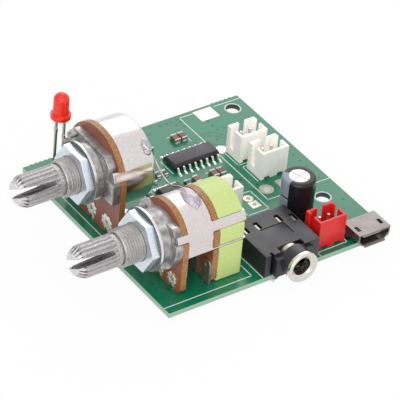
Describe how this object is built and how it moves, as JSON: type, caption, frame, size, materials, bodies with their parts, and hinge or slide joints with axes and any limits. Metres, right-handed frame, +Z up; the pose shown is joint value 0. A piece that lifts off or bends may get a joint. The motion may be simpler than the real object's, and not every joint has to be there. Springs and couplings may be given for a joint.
{
  "type": "audio amplifier board",
  "caption": "Small green audio amplifier board with a level control, a switched control, an indicator lamp, wire headers, a headphone jack and a power socket.",
  "frame": {"origin": "centre of the corner screw hole on the board's underside", "axes": "+X along the front edge towards the jack's side, +Y from the control shafts to the board's rear, +Z up from the board's face"},
  "size_m": [0.0517, 0.0623, 0.0221],
  "materials": {
    "laminate": "green solder mask over glass laminate",
    "solder": "satin solder",
    "zinc_casting": "cast, matte",
    "shaft_alloy": "turned and knurled, satin",
    "black_plastic": "moulded, satin",
    "spring_bronze": "rolled",
    "phenolic": "pressed paper laminate, satin",
    "carbon_track": "printed carbon",
    "tinned_metal": "tin plated",
    "tinned_sheet": "tin plated sheet, satin",
    "zinc_plate": "zinc plated, blue passivated",
    "lime_plastic": "moulded, satin",
    "ivory_plastic": "moulded",
    "red_lens": "diffused",
    "chip_epoxy": "moulded, fine grain",
    "brown_ceramic": "fired",
    "black_ceramic": "glazed",
    "white_nylon": "moulded, satin",
    "red_nylon": "moulded, satin",
    "nickel_plate": "nickel plated",
    "can_aluminium": "drawn",
    "black_sleeve": "shrunk film, glossy",
    "bung_rubber": "moulded"
  },
  "bodies": {
    "board": {"circuit_board": "laminate", "solder_joints": "solder", "ground_solder": "solder", "ground_wire": "solder", "chip_capacitor_ends": "solder", "chip_resistor_ends": "solder", "level_front_plate": "zinc_casting", "switch_front_plate": "zinc_casting", "jack_body": "black_plastic", "usb_insulator": "black_plastic", "switch_leaf": "spring_bronze", "usb_contacts": "spring_bronze", "level_wafer": "phenolic", "switch_wafer": "phenolic", "switch_base": "phenolic", "level_track": "carbon_track", "switch_track": "carbon_track", "level_terminals": "tinned_metal", "switch_terminals": "tinned_metal", "switch_blades": "tinned_metal", "led_leads": "tinned_metal", "amplifier_chip_leads": "tinned_metal", "preamp_chip_leads": "tinned_metal", "header_left_pins": "tinned_metal", "header_middle_pins": "tinned_metal", "header_inner_pins": "tinned_metal", "header_red_pins": "tinned_metal", "jack_sleeve_spring": "tinned_metal", "jack_contacts": "tinned_metal", "capacitor_leads": "tinned_metal", "level_cover": "tinned_sheet", "switch_cover": "tinned_sheet", "level_washer": "zinc_plate", "level_nut": "zinc_plate", "switch_washer": "zinc_plate", "switch_nut": "zinc_plate", "switch_housing": "lime_plastic", "led_lens": "red_lens", "amplifier_chip": "chip_epoxy", "preamp_chip": "chip_epoxy", "chip_capacitors": "brown_ceramic", "chip_resistors": "black_ceramic", "header_left": "white_nylon", "header_middle": "white_nylon", "header_inner": "white_nylon", "header_red": "red_nylon", "jack_ring": "nickel_plate", "usb_shell": "nickel_plate", "capacitor_can": "can_aluminium", "capacitor_sleeve": "black_sleeve", "capacitor_bung": "bung_rubber"},
    "level_spindle": {"level_shaft": "shaft_alloy", "level_rotor": "black_plastic", "level_wiper": "spring_bronze"},
    "switch_spindle": {"switch_shaft": "shaft_alloy", "switch_rotor": "black_plastic", "switch_wiper": "spring_bronze", "switch_cam": "ivory_plastic"}
  },
  "joints": [
    {"name": "level_turn", "type": "hinge", "parent": "board", "child": "level_spindle", "pos_m": [0.0158, -0.05, 0.0127], "axis": [0, 1, 0], "range_deg": [0, 300]},
    {"name": "switch_turn", "type": "hinge", "parent": "board", "child": "switch_spindle", "pos_m": [0.0353, -0.05, 0.0108], "axis": [0, 1, 0], "range_deg": [0, 300]}
  ]
}
